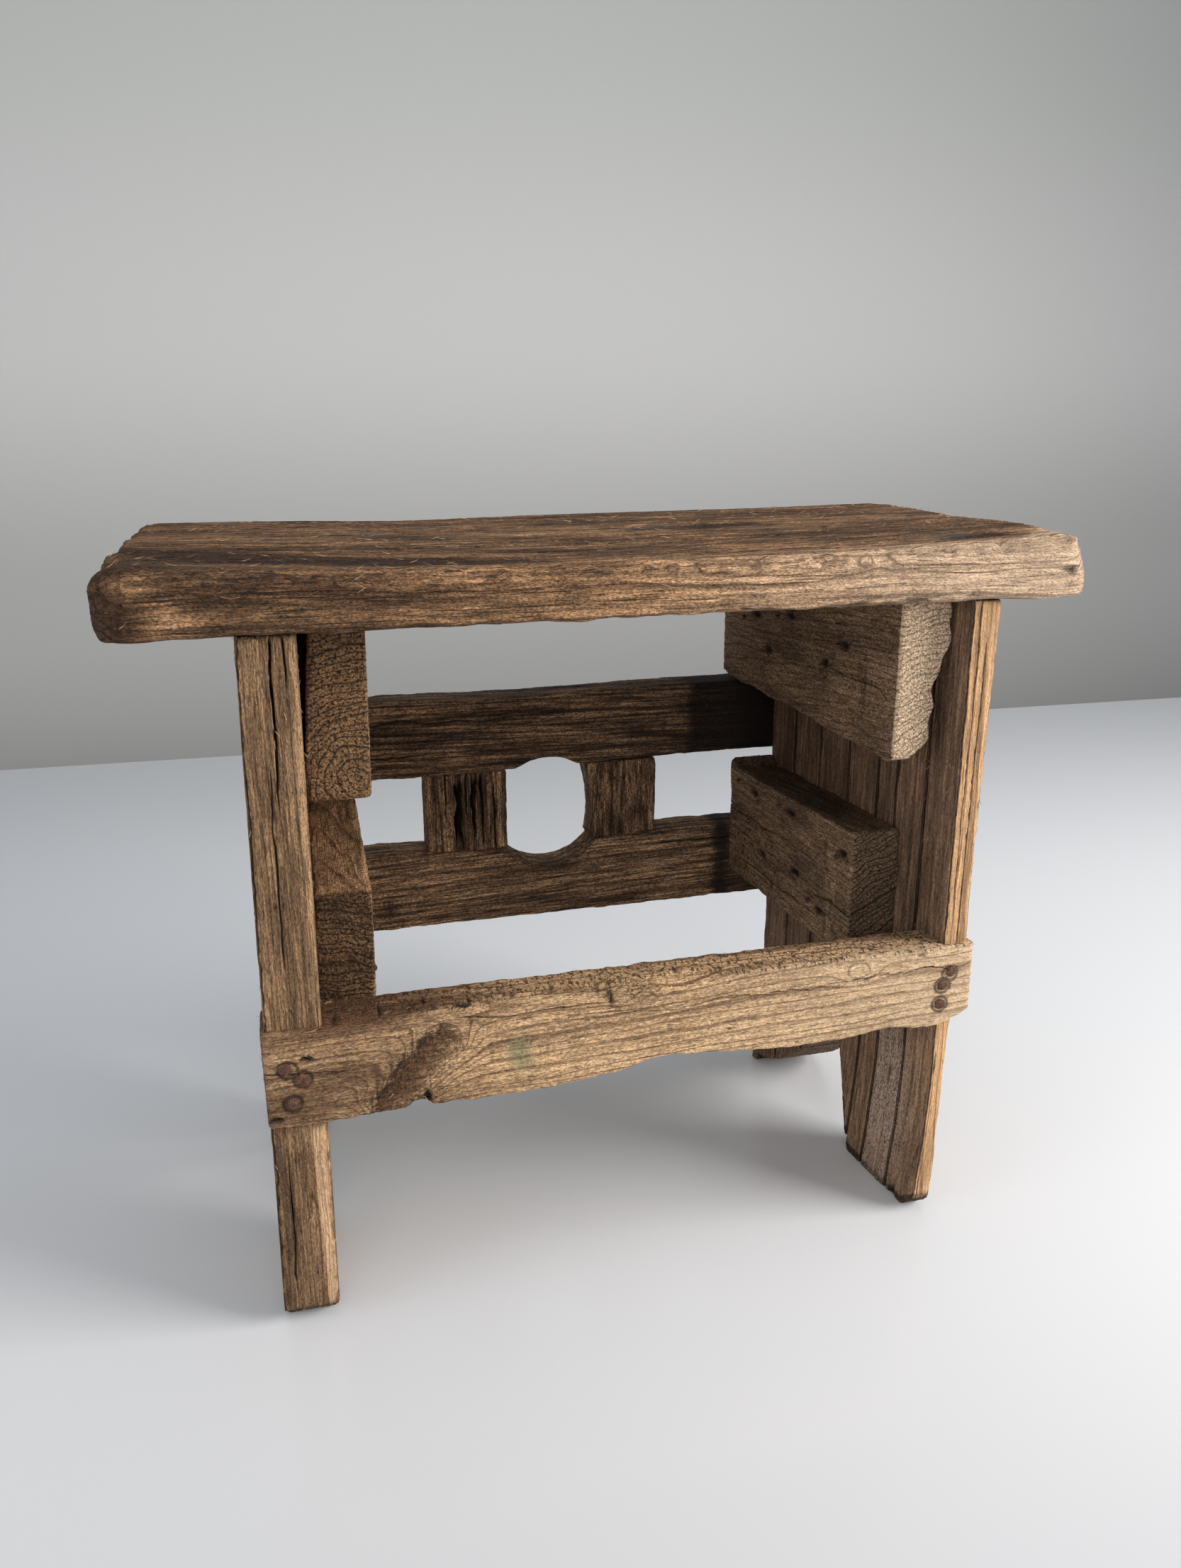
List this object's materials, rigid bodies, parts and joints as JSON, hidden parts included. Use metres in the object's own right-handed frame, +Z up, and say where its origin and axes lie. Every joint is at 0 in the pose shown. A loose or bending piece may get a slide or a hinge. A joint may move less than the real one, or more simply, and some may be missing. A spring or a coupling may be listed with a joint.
{
  "type": "milking stool",
  "caption": "Low rectangular wooden milking stool: a thick plank seat on boarded bootjack ends, tied by a front stretcher and a slatted rear frame with a hand hole.",
  "frame": {"origin": "on the floor, under the middle of the stool's bounding box", "axes": "+X to the sitter's side along the seat's length, +Y from the front stretcher to the rear frame, +Z up"},
  "size_m": [0.399, 0.192, 0.3395],
  "materials": {
    "seat_wood": "weathered, worn smooth and dark on top, pale where rubbed",
    "board_wood": "weathered rough sawn",
    "stretcher_wood": "weathered, light tan with dark growth lines",
    "frame_wood": "weathered dark brown, rough sawn",
    "cleat_wood": "weathered grey brown, coarse end grain",
    "rusty_nail": "rusted"
  },
  "bodies": {
    "root": {"seat_plank": "seat_wood", "right_end_board_1": "board_wood", "right_end_board_2": "board_wood", "right_end_board_3": "board_wood", "right_end_board_4": "board_wood", "right_end_board_5": "board_wood", "right_end_board_6": "board_wood", "right_end_board_7": "board_wood", "left_end_board_1": "board_wood", "left_end_board_2": "board_wood", "left_end_board_3": "board_wood", "left_end_board_4": "board_wood", "left_end_board_5": "board_wood", "left_end_board_6": "board_wood", "left_end_board_7": "board_wood", "front_stretcher": "stretcher_wood", "rear_rail_upper": "frame_wood", "rear_rail_lower": "frame_wood", "rear_block_left": "frame_wood", "rear_block_right": "frame_wood", "cleat_right_top": "cleat_wood", "cleat_right_low": "cleat_wood", "cleat_left_top": "cleat_wood", "cleat_left_low": "cleat_wood", "stretcher_nails_left": "rusty_nail", "stretcher_nails_right": "rusty_nail", "seat_nails": "rusty_nail", "rear_rail_nails": "rusty_nail", "rear_block_nails": "rusty_nail", "cleat_nails_right_top": "rusty_nail", "cleat_nails_right_low": "rusty_nail", "cleat_nails_left_top": "rusty_nail", "cleat_nails_left_low": "rusty_nail"}
  },
  "joints": []
}
